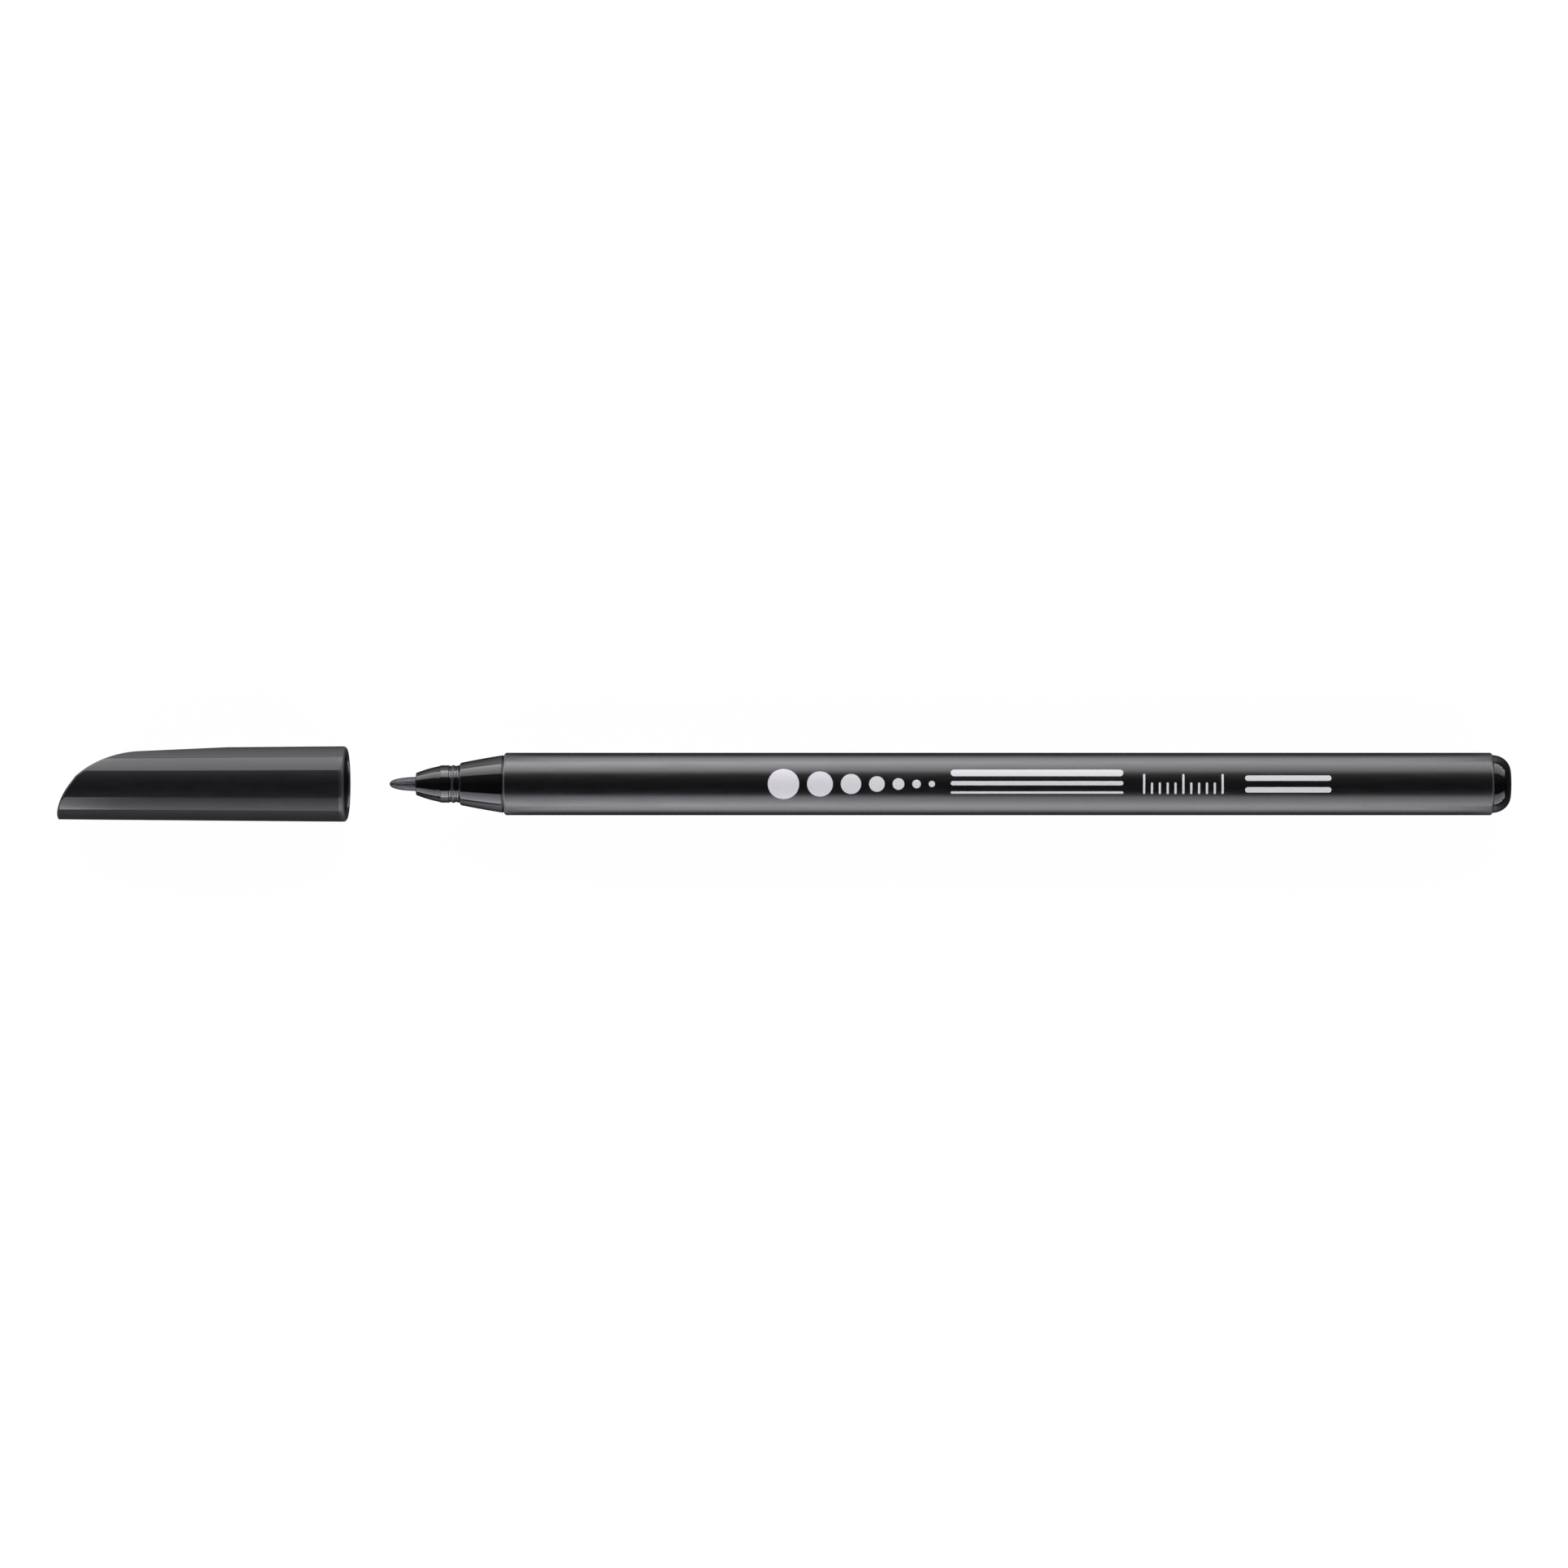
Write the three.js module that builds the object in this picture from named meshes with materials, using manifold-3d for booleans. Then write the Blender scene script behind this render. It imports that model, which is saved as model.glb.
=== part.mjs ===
// Felt-tip pen with its cap taken off and lying in line with it. Millimetres.
// X runs along the pen, with the cap at -X and the tail at +X. +Z is up.
// The cap lies on its side, with its slanted face towards +Y.
// The origin is under the middle of the whole, on the surface that the cap lies on.

import * as THREE from 'three';
import { mergeVertices } from 'three/addons/utils/BufferGeometryUtils.js';
import Module from 'manifold-3d';

// Flats round a turned piece. Radii are measured to the middle of a flat, and one flat faces down.
const turnSides = 24;
const nibSides = 16;
const arcSteps = 5;

// Fits
const pressClearance = 0.03;
const seamGap = 0.1;
const slideClearance = 0.06;
const sleevePlay = 0.15;
const stopGap = 0.3;
const entryChamfer = 0.3;

// Barrel
const barrelLength = 126.4;
const barrelRadius = 4.0;
const barrelWall = 0.7;
const barrelEdgeRadius = 0.32;

// Front section, the cone that the fingers rest near. It swells a little between its ends.
// Its tenon is pressed into the barrel.
const sectionLength = 5.78;
const sectionFrontRadius = 2.76;
const sectionEdgeRadius = 0.3;
const sectionSwell = 0.03;
const sectionTenonLength = 8;
const sectionTenonWall = 0.87;

// Nib holder, the nose: a cone that swells a little and a tapered collar with a ring bead.
// Its tenon is pressed into the section.
const noseLength = 5.52;
const noseFrontRadius = 1.5;
const noseFrontChamfer = 0.2;
const noseConeLength = 2.8;
const noseConeSwell = 0.06;
const collarFrontRadius = 2.26;
const collarRadius = 2.4;
const collarTaperLength = 1.3;
const collarBeadHeight = 0.03;
const collarBeadHalfWidth = 0.22;
const collarBeadFromSeam = 0.75;
const collarGrooveDepth = 0.08;
const collarGrooveWidth = 0.23;
const noseTenonWall = 0.99;
const noseTenonLength = 7;

// Fibre nib, a rod whose writing end is a blunt bullet
const nibRadius = 0.9;
const nibExposed = 3.4;
const nibBluntness = 0.4;
const nibInReservoir = 5;

// Ink reservoir and its film sleeve, which fill the barrel's bore
const reservoirEdge = 0.4;
const sleeveThickness = 0.12;
const sleeveInset = 0.5;

// Tail plug. Its tenon is pressed into the barrel, and its dome ends in a flat.
const plugLength = 2.35;
const plugStep = 0.3;
const plugFlatRadius = 1.6;
const plugTenonLength = 6;
const plugRecessDepth = 4.5;
const plugTenonWall = 1.07;

// Cap shell. It tapers towards its closed end, which is cut off aslant by a curved face.
// From the side the face is two arcs, a foot by the closed end and a brow that runs out straight.
// Their centres are counted from the closed end and down from the axis, and the ends are in degrees.
const capLength = 36.96;
const capWall = 0.775;
const capTaper = 0.3;
const capLipRadius = 0.5;
const capEndEdge = 0.2;
const capGap = 5.44;
const capOverlap = 12;
const capSectionClearance = 0.22;
const slantFootRadius = 11.28;
const slantFootCentre = 10.93;
const slantFootDrop = 6.89;
const slantFootEnd = 143.2;
const slantBrowRadius = 12.58;
const slantBrowCentre = 11.13;
const slantBrowDrop = 8.36;
const slantBrowEnd = 92.6;
const slantWall = 0.7;
const slantOverrun = 1;
const slantSteps = 9;

// Cap liner, the inner cup that closes round the nose collar and keeps the nib from drying out
const linerWall = 0.7;
const linerSealClearance = 0.05;
const linerSeamClearance = 0.25;
const linerNibClearance = 1.2;
const linerEndWall = 0.8;
const linerSeatLength = 5;
const linerTipRadius = 2.4;

// Places along the pen, counted from the nib's tip
const noseX = nibExposed;
const noseSeamX = noseX + noseLength;
const sectionX = noseSeamX + seamGap;
const barrelX = noseSeamX + sectionLength;
const barrelEndX = barrelX + barrelLength;
const plugX = barrelEndX + pressClearance;
const tailX = barrelEndX + plugLength;
const noseTenonEndX = noseSeamX + noseTenonLength;
const sectionTenonEndX = barrelX + sectionTenonLength;
const plugTenonEndX = barrelEndX - plugTenonLength;
const reservoirX = sectionTenonEndX + seamGap;
const reservoirEndX = plugTenonEndX - seamGap;
const nibEndX = reservoirX + nibInReservoir;

// Radii that follow from the fits
const barrelBore = barrelRadius - barrelWall;
const tenonRadius = barrelBore - pressClearance;
const sectionRearRadius = barrelRadius - barrelEdgeRadius;
const sectionCoreRadius = tenonRadius - sectionTenonWall;
const nibBore = nibRadius + pressClearance;
const noseTenonRadius = nibBore + noseTenonWall;
const noseTenonBore = noseTenonRadius + pressClearance;
const sleeveRadius = barrelBore - sleevePlay;
const sleeveBore = sleeveRadius - sleeveThickness;
const reservoirRadius = sleeveBore - pressClearance;
const plugRadius = barrelRadius - plugStep;
const plugRecessRadius = tenonRadius - plugTenonWall;
const capBore = barrelRadius + slideClearance;
const capMouthRadius = capBore + capWall;
const capEndRadius = capMouthRadius - capTaper;
const capSectionBoreRadius = sectionRearRadius + capSectionClearance;
const linerBore = collarRadius + collarBeadHeight + linerSealClearance;
const linerRadius = linerBore + linerWall;
const linerSeatBore = linerRadius + pressClearance;

// Places along the cap, counted from its closed end. Home is where the pen stands when it is capped.
const homeBarrelX = capLength - capOverlap;
const homeSeamX = homeBarrelX - sectionLength;
const homeNibX = homeSeamX - noseSeamX;
const capStepX = homeBarrelX - stopGap;
const linerMouthX = homeSeamX - linerSeamClearance;
const linerFloorX = homeNibX - linerNibClearance;
const linerEndX = linerFloorX - linerEndWall;

const penLength = tailX;
const wholeLength = capLength + capGap + penLength;

const satinBlack = new THREE.MeshStandardMaterial({ color: 0x1b1b1d, roughness: 0.42, metalness: 0 });
const glossBlack = new THREE.MeshStandardMaterial({ color: 0x0c0c0e, roughness: 0.14, metalness: 0 });
const capBlack = new THREE.MeshStandardMaterial({ color: 0x131316, roughness: 0.2, metalness: 0 });
const linerGrey = new THREE.MeshStandardMaterial({ color: 0x2a2a2c, roughness: 0.5, metalness: 0 });
const inkedFibre = new THREE.MeshStandardMaterial({ color: 0x1d1920, roughness: 0.85, metalness: 0 });
const fibreCore = new THREE.MeshStandardMaterial({ color: 0x26232a, roughness: 0.95, metalness: 0 });
const clearFilm = new THREE.MeshStandardMaterial({ color: 0xc9ccd0, roughness: 0.25, metalness: 0 });

const wasm = await Module();
wasm.setup();

// A quarter round from one point of a profile to the next, as [x, radius] points.
// It leaves square to the axis where fromFace is true, and along the axis otherwise.
function quarterRound(from, to, fromFace) {
  const points = [];
  for (let step = 0; step <= arcSteps; step += 1) {
    const angle = (Math.PI / 2) * (step / arcSteps);
    const along = fromFace ? 1 - Math.cos(angle) : Math.sin(angle);
    const out = fromFace ? Math.sin(angle) : 1 - Math.cos(angle);
    points.push([from[0] + (to[0] - from[0]) * along, from[1] + (to[1] - from[1]) * out]);
  }
  return points;
}

// A rounded ring that stands up from a turned surface
function ringBead(centreX, halfWidth, baseRadius, height) {
  const points = [];
  for (let step = 0; step <= arcSteps; step += 1) {
    const angle = Math.PI * (step / arcSteps);
    points.push([centreX - halfWidth * Math.cos(angle), baseRadius + height * Math.sin(angle)]);
  }
  return points;
}

// A run from one point to the next that swells outwards between them. It leaves its start out.
function swollenRun(from, to, swell) {
  const points = [];
  for (let step = 1; step <= arcSteps; step += 1) {
    const share = step / arcSteps;
    const x = from[0] + (to[0] - from[0]) * share;
    const rise = 4 * swell * share * (1 - share);
    points.push([x, from[1] + (to[1] - from[1]) * share + rise]);
  }
  return points;
}

// Turns a profile of [x, radius] points round the X axis. The outside is listed from -X to +X.
function turned(profile, sides = turnSides) {
  const toCorner = 1 / Math.cos(Math.PI / sides);
  const points = profile.map(([x, radius]) => new THREE.Vector2(radius * toCorner, x));
  const geometry = new THREE.LatheGeometry(points, sides, Math.PI / sides);
  geometry.rotateZ(-Math.PI / 2);
  return geometry;
}

// A tube's profile closes on itself at its first point
function closedProfile(profile) {
  return [...profile, profile[0]];
}

function toSolid(geometry) {
  const bare = geometry.clone();
  bare.deleteAttribute('normal');
  bare.deleteAttribute('uv');
  const merged = mergeVertices(bare);
  const corners = merged.index.array;
  const triangles = [];
  for (let first = 0; first < corners.length; first += 3) {
    const [a, b, c] = corners.slice(first, first + 3);
    if (a !== b && b !== c && c !== a) {
      triangles.push(a, b, c);
    }
  }
  const mesh = new wasm.Mesh({
    numProp: 3,
    vertProperties: Float32Array.from(merged.attributes.position.array),
    triVerts: Uint32Array.from(triangles),
  });
  return new wasm.Manifold(mesh);
}

function toGeometry(solid) {
  const mesh = solid.getMesh();
  const geometry = new THREE.BufferGeometry();
  geometry.setAttribute('position', new THREE.BufferAttribute(mesh.vertProperties, 3));
  geometry.setIndex(new THREE.BufferAttribute(mesh.triVerts, 1));
  geometry.computeVertexNormals();
  return geometry;
}

function barrelGeometry() {
  const face = barrelRadius - barrelEdgeRadius;
  return turned(closedProfile([
    [barrelX, barrelBore],
    ...quarterRound([barrelX, face], [barrelX + barrelEdgeRadius, barrelRadius], true),
    ...quarterRound([barrelEndX - barrelEdgeRadius, barrelRadius], [barrelEndX, face], false),
    [barrelEndX, barrelBore],
  ]));
}

function sectionGeometry() {
  const edgeStart = [sectionX, sectionFrontRadius - sectionEdgeRadius];
  const edgeEnd = [sectionX + sectionEdgeRadius, sectionFrontRadius];
  const shoulderX = barrelX - seamGap;
  const shoulder = [shoulderX, sectionRearRadius];
  return turned(closedProfile([
    [sectionX, noseTenonBore],
    ...quarterRound(edgeStart, edgeEnd, true),
    ...swollenRun(edgeEnd, shoulder, sectionSwell),
    [shoulderX, tenonRadius],
    [sectionTenonEndX - entryChamfer, tenonRadius],
    [sectionTenonEndX, tenonRadius - entryChamfer],
    [sectionTenonEndX, sectionCoreRadius],
    [noseTenonEndX + seamGap, sectionCoreRadius],
    [noseTenonEndX + seamGap, noseTenonBore],
  ]));
}

// The nose's outside, from its front edge to the groove behind the bead
function noseProfile() {
  const coneStart = [noseX + noseFrontChamfer, noseFrontRadius];
  const coneEnd = [noseX + noseConeLength, collarFrontRadius];
  const beadX = noseSeamX - collarBeadFromSeam;
  const grooveRadius = collarRadius - collarGrooveDepth;
  const grooveFrontX = beadX - collarBeadHalfWidth - collarGrooveWidth;
  const grooveRearX = beadX + collarBeadHalfWidth + collarGrooveWidth;
  const beadRise = collarBeadHeight + collarGrooveDepth;
  return [
    coneStart,
    ...swollenRun(coneStart, coneEnd, noseConeSwell),
    [noseX + noseConeLength + collarTaperLength, collarRadius],
    [grooveFrontX, grooveRadius],
    ...ringBead(beadX, collarBeadHalfWidth, grooveRadius, beadRise),
    [grooveRearX, grooveRadius],
    [grooveRearX + collarGrooveDepth, collarRadius],
  ];
}

function nibHolderGeometry() {
  return turned(closedProfile([
    [noseX, nibBore],
    [noseX, noseFrontRadius - noseFrontChamfer],
    ...noseProfile(),
    [noseSeamX, collarRadius],
    [noseSeamX, noseTenonRadius],
    [noseTenonEndX - entryChamfer, noseTenonRadius],
    [noseTenonEndX, noseTenonRadius - entryChamfer],
    [noseTenonEndX, nibBore],
  ]));
}

function nibGeometry() {
  const profile = [[0, 0]];
  for (let step = 1; step <= 2 * arcSteps; step += 1) {
    const share = (step / (2 * arcSteps)) ** 2;
    const swell = (1 - (1 - share) ** 2) ** nibBluntness;
    profile.push([nibExposed * share, nibRadius * swell]);
  }
  profile.push([nibEndX, nibRadius]);
  profile.push([nibEndX, 0]);
  return turned(profile, nibSides);
}

function reservoirGeometry() {
  const pocketX = nibEndX + seamGap;
  return turned([
    [pocketX, 0],
    [pocketX, nibBore],
    [reservoirX, nibBore],
    [reservoirX, reservoirRadius - reservoirEdge],
    [reservoirX + reservoirEdge, reservoirRadius],
    [reservoirEndX - reservoirEdge, reservoirRadius],
    [reservoirEndX, reservoirRadius - reservoirEdge],
    [reservoirEndX, 0],
  ]);
}

function sleeveGeometry() {
  return turned(closedProfile([
    [reservoirX + sleeveInset, sleeveBore],
    [reservoirX + sleeveInset, sleeveRadius],
    [reservoirEndX - sleeveInset, sleeveRadius],
    [reservoirEndX - sleeveInset, sleeveBore],
  ]));
}

function tailPlugGeometry() {
  return turned([
    [plugTenonEndX + plugRecessDepth, 0],
    [plugTenonEndX + plugRecessDepth, plugRecessRadius],
    [plugTenonEndX, plugRecessRadius],
    [plugTenonEndX, tenonRadius - entryChamfer],
    [plugTenonEndX + entryChamfer, tenonRadius],
    [plugX, tenonRadius],
    ...quarterRound([plugX, plugRadius], [tailX, plugFlatRadius], false),
    [tailX, 0],
  ]);
}

// A block whose upper left side is an arc with a straight run on from its end.
// The arc goes clockwise from level with its centre to endAngle, in degrees.
function slantBlock(centreX, drop, radius, endAngle) {
  const end = THREE.MathUtils.degToRad(endAngle);
  const right = capLength + slantOverrun;
  const bottom = -drop - slantOverrun;
  const arcEndX = centreX + radius * Math.cos(end);
  const arcEndZ = -drop + radius * Math.sin(end);
  const rise = -Math.cos(end) / Math.sin(end);
  const shape = new THREE.Shape();
  shape.moveTo(right, bottom);
  shape.lineTo(right, arcEndZ + (right - arcEndX) * rise);
  shape.lineTo(arcEndX, arcEndZ);
  shape.absarc(centreX, -drop, radius, end, Math.PI, false);
  shape.lineTo(centreX - radius, bottom);
  const depth = 4 * capMouthRadius;
  const options = { depth, bevelEnabled: false, curveSegments: slantSteps };
  const geometry = new THREE.ExtrudeGeometry(shape, options);
  geometry.rotateX(Math.PI / 2);
  geometry.translate(0, depth / 2, 0);
  return toSolid(geometry);
}

// What lies inside the curved slant, with its face moved in by inset
function insideSlant(inset) {
  const foot = slantBlock(slantFootCentre, slantFootDrop, slantFootRadius - inset, slantFootEnd);
  const brow = slantBlock(slantBrowCentre, slantBrowDrop, slantBrowRadius - inset, slantBrowEnd);
  return foot.intersect(brow);
}

function capShellGeometry() {
  const lipFace = capMouthRadius - capLipRadius;
  const lipX = capLength - capLipRadius;
  const lipBack = [capLength, lipFace];
  const boreEdge = (lipFace - capBore) / 2;
  const taper = (capMouthRadius - capEndRadius) / lipX;
  const endTop = [capEndEdge, capEndRadius + taper * capEndEdge];
  const tube = toSolid(turned([
    [0, 0],
    ...quarterRound([0, capEndRadius - capEndEdge], endTop, true),
    ...quarterRound([lipX, capMouthRadius], lipBack, false),
    [capLength, capBore + boreEdge],
    [capLength - boreEdge, capBore],
    [capStepX, capBore],
    [capStepX, capSectionBoreRadius],
    [linerMouthX, capSectionBoreRadius],
    [linerMouthX, linerSeatBore],
    [linerEndX, linerSeatBore],
    [linerEndX, 0],
  ]));
  const endRoom = toSolid(turned([
    [0, 0],
    [0, linerSeatBore],
    [linerMouthX, linerSeatBore],
    [linerMouthX, 0],
  ]));
  const hollow = endRoom.intersect(insideSlant(slantWall));
  return toGeometry(tube.intersect(insideSlant(0)).subtract(hollow));
}

function capLinerGeometry() {
  const seatX = linerMouthX - linerSeatLength;
  const stepX = seatX - (linerRadius - linerTipRadius);
  const tipBore = linerTipRadius - linerWall;
  const boreStepX = homeNibX + noseX + seamGap;
  return turned([
    [linerEndX, 0],
    [linerEndX, linerTipRadius],
    [stepX, linerTipRadius],
    [seatX, linerRadius],
    [linerMouthX, linerRadius],
    [linerMouthX, linerBore],
    [boreStepX, linerBore],
    [boreStepX, tipBore],
    [linerFloorX, tipBore],
    [linerFloorX, 0],
  ]);
}

function piece(name, geometry, material) {
  const mesh = new THREE.Mesh(geometry, material);
  mesh.name = name;
  return mesh;
}

const pen = new THREE.Group();
pen.position.x = wholeLength / 2 - penLength;
pen.add(
  piece('barrel', barrelGeometry(), satinBlack),
  piece('front_section', sectionGeometry(), glossBlack),
  piece('nib_holder', nibHolderGeometry(), glossBlack),
  piece('fibre_nib', nibGeometry(), inkedFibre),
  piece('ink_reservoir', reservoirGeometry(), fibreCore),
  piece('reservoir_sleeve', sleeveGeometry(), clearFilm),
  piece('tail_plug', tailPlugGeometry(), glossBlack),
);

const cap = new THREE.Group();
cap.position.x = -wholeLength / 2;
cap.rotation.x = -Math.PI / 2;
cap.add(
  piece('cap_shell', capShellGeometry(), capBlack),
  piece('cap_liner', capLinerGeometry(), linerGrey),
);

const whole = new THREE.Group();
whole.position.z = capMouthRadius;
whole.add(pen, cap);

export default whole;
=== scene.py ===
import math

import bmesh
import bpy
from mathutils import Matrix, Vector


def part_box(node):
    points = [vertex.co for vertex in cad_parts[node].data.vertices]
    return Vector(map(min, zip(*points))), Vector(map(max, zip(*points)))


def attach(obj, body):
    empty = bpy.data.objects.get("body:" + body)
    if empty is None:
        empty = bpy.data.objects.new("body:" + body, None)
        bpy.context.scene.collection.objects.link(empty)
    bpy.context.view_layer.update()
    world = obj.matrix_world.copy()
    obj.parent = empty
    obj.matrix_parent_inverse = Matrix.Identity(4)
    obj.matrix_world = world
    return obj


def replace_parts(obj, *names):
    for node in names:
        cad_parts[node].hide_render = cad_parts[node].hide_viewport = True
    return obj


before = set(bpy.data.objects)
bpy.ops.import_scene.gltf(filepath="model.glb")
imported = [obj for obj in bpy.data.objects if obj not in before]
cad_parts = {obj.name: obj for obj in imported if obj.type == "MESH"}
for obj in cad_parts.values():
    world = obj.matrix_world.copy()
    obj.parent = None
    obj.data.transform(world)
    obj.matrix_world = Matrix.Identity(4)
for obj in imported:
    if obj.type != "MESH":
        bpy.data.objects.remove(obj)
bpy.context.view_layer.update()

# A felt-tip pen with its cap taken off, seen from straight above as it lies in line with the cap.
# Sizes are in millimetres, and a piece's points become metres when its mesh is made.
MM = 0.001

# Fineness of the round surfaces. A straight run over LONG_RUN gets rows along it and near its ends.
TURN_SEGMENTS = 192
ARC_STEPS = 10
ROW_STEP = 4.0
LONG_RUN = 0.3
ROW_INSET = 0.05
MERGE_DISTANCE = 0.0002
SHARP_ANGLE = math.radians(32)

# Fits and walls, the same as the CAD model's
PRESS_CLEARANCE = 0.03
SEAM_GAP = 0.1
SLIDE_CLEARANCE = 0.06
ENTRY_CHAMFER = 0.3
BARREL_WALL = 0.7
BARREL_EDGE = 0.32
SECTION_FRONT_RADIUS = 2.76
SECTION_EDGE = 0.3
SECTION_SWELL = 0.03
SECTION_TENON_LENGTH = 8.0
SECTION_TENON_WALL = 0.87
NOSE_FRONT_RADIUS = 1.5
NOSE_LIP = 0.2
NOSE_CONE_LENGTH = 2.8
NOSE_CONE_SWELL = 0.06
NOSE_TENON_WALL = 0.99
COLLAR_FRONT_RADIUS = 2.26
BEAD_HEIGHT = 0.03
BEAD_HALF_WIDTH = 0.22
BEAD_FROM_SEAM = 0.75
GROOVE_DEPTH = 0.08
GROOVE_WIDTH = 0.23
NIB_EXPOSED = 3.4
NIB_BLUNTNESS = 0.4
PLUG_FLAT_RADIUS = 1.6
PLUG_RECESS_DEPTH = 4.5
PLUG_TENON_WALL = 1.07
LINER_WALL = 0.7
LINER_END_WALL = 0.8
LINER_SEAT_LENGTH = 5.0
LINER_TIP_RADIUS = 2.4
LINER_NIB_ROOM = 4.7

# Edges that are finer here than in the CAD model
SECTION_REAR_EDGE = 0.12
COLLAR_TAPER_LENGTH = 0.45
LIP_LINE_WIDTH = 0.12
LIP_LINE_DEPTH = 0.03
BORE_LEAD_IN = 0.32
SLANT_RIM = 0.3
END_RIM = 0.1

# How pale the edges are painted, from 0 to 1: partly wear, partly a painted highlight line where a
# rounded edge would catch light. The bead's painted highlight fades from its crest with a power.
BARREL_EDGE_WEAR_AND_HIGHLIGHT = 1.0
SECTION_EDGE_WEAR_AND_HIGHLIGHT = 0.5
NOSE_LIP_WEAR_AND_HIGHLIGHT = 0.4
BEAD_HIGHLIGHT_POWER = 4
LIP_LINE_HIGHLIGHT = 0.8
CAP_LIP_WEAR_AND_HIGHLIGHT = 0.8
CAP_BORE_WEAR_AND_HIGHLIGHT = 0.6

# Cap, counted from its closed end. A drop is how far an arc's centre stands from the axis, away from
# the slanted side.
CAP_TAPER = 0.3
CAP_LIP = 0.5
CAP_BORE_DEPTH = 12.3
CAP_SECTION_CLEARANCE = 0.22
SLANT_FOOT = {"centre": 10.93, "drop": 6.89, "radius": 11.28, "end": math.radians(143.2)}
SLANT_BROW = {"centre": 11.13, "drop": 8.36, "radius": 12.58, "end": math.radians(92.6)}
END_ROWS = 64
FAN_ROWS = 6
FOOT_ROWS = 36
BROW_ROWS = 80
RIM_STEPS = 7
RUNG_STEPS = 10
HALVINGS = 60

# Printed marks on top of the barrel: lengths along X, widths across, offsets towards +Y
PRINT_RISE = 0.012
PRINT_SINK = 0.02
PRINT_START = -2.0
PRINT_COLUMNS = 8
PRINT_ACROSS = 10
DOT_DIAMETERS = (4.0, 3.3, 2.6, 2.0, 1.5, 1.1, 0.8)
DOT_GAP = 1.0
LINE_LENGTH = 22.0
LINE_WIDTHS_AND_OFFSETS = ((0.9, 1.45), (0.55, 0.1), (0.3, -1.1))
LINE_GAP = 1.0
TICK_COUNT = 11
TICK_PITCH = 1.0
TICK_WIDTH = 0.28
SHORT_TICK = 1.5
LONG_TICK = 2.6
LONG_TICK_EVERY = 5
TICK_GAP = 2.5
BAR_LENGTH = 11.0
BAR_WIDTH = 0.7
BAR_OFFSETS = (0.75, -0.75)
BAR_GAP = 2.0

# Surface detail, in features a metre
PATCH_SCALE = 420.0
SCUFF_SCALE = 1500.0
RIPPLE_SCALE = 160.0
GRAIN_SCALE = 9000.0
WEAR_SCALE = 2600.0
NIB_STRAND_SCALE = 7000.0
RESERVOIR_STRAND_SCALE = 3000.0
FLAKE_SCALE = 14000.0
PRINT_TOOTH_SCALE = 6000.0
CREASE_SCALE = 600.0

# Clear gloss over the cap's duller body
CAP_BODY_SPECULAR = 0.13
CAP_COAT_ROUGHNESS = 0.07
CAP_COAT_IOR = 1.5
WORN_COAT = 0.1

# Camera: the photograph's 1932 pixels cover PHOTO_WIDTH at the height of the axis
PHOTO_WIDTH = 200.7
PHOTO_CENTRE_X = -0.055
CAMERA_X = 25.0
CAMERA_DISTANCE = 810.0
SENSOR_WIDTH = 36.0
CLIP_END = 20000.0

# Softboxes along both sides of the pen, facing it
SOFTBOX_LEFT = -900.0
SOFTBOX_RIGHT = 1000.0
SOFTBOX_FOOT = 520.0
SOFTBOX_TOP_REACH = 360.0
SOFTBOX_TOP_HEIGHT = 387.0

# How bright each softbox is at its top and at its foot, for the stretch that the pen mirrors and for
# the one that the cap mirrors. Shares are (place along X on the softbox, share).
FAR_LIGHT = {"pen": (2.1, 6.5), "cap": (2.5, 2.75)}
NEAR_LIGHT = {"pen": (2.0, 5.8), "cap": (0.35, 1.3)}
FAR_TINT = (0.985, 0.955, 1.0)
NEAR_TINT = (0.93, 0.93, 1.0)
CAP_SHARE = ((-176, 0), (-158, 1), (-104, 1), (-94, 0))
LENGTH_SHARE = ((-900, 0.75), (-260, 0.76), (-210, 0.88), (-172, 1), (-94, 1), (-91, 1.36), (-82, 1.36),
                (-78, 1), (-42, 1), (2, 0.78), (98, 0.66), (410, 0.6), (780, 0.56), (900, 0.3), (960, 0))

# Floor. Its glow is light painted on it that only the plastic's reflections see, as (distance from the
# line under the pen, level); it falls to nothing near the pen, a painted shadow. The glow's shares are
# (place along X, share).
FLOOR_SIZE = 6000.0
FLOOR_GLOW = ((6, 0.0), (8, 0.14), (11, 0.45), (14, 0.7), (20, 1.15), (46, 1.7), (70, 1.9))
BARREL_GLOW = ((9, 0.0), (13, 0.3), (19, 1.7), (30, 2.9), (70, 3.2))
BARREL_GLOW_SHARE = ((-37, 0.0), (-33, 1.0), (88, 1.0), (92, 0.0))
FAR_GLOW_SHARE = ((-120, 0.0), (-96, 0.8), (-54, 0.8), (-48, 1.0), (92, 1.0), (96, 0.5), (100, 0.2),
                  (110, 0.05), (130, 0.0))
NEAR_GLOW_SHARE = ((-120, 0.0), (-96, 0.11), (-54, 0.11), (-48, 1.0), (92, 1.0), (96, 0.5), (100, 0.2),
                   (110, 0.05), (130, 0.0))
GLOW_TINT = (0.95, 0.93, 1.0)
FLOOR_DIFFUSE = 0.07
FLOOR_LIT = 0.55
FLOOR_DIFFUSE_SHARE = ((90, 1.0), (220, 0.0))

# Ceiling that the plastic mirrors: its levels at the sides, and how far it takes to brighten to +Y
CEILING_LEVELS = (0.02, 0.15)
CEILING_REACH = 0.62


def ends(node):
    """The lowest and highest X of a CAD node."""
    low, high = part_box(node)
    return low[0] / MM, high[0] / MM


def half_height(node):
    low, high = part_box(node)
    return (high[2] - low[2]) / 2 / MM


low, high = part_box("barrel")
AXIS_HEIGHT = (low[2] + high[2]) / 2 / MM

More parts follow.
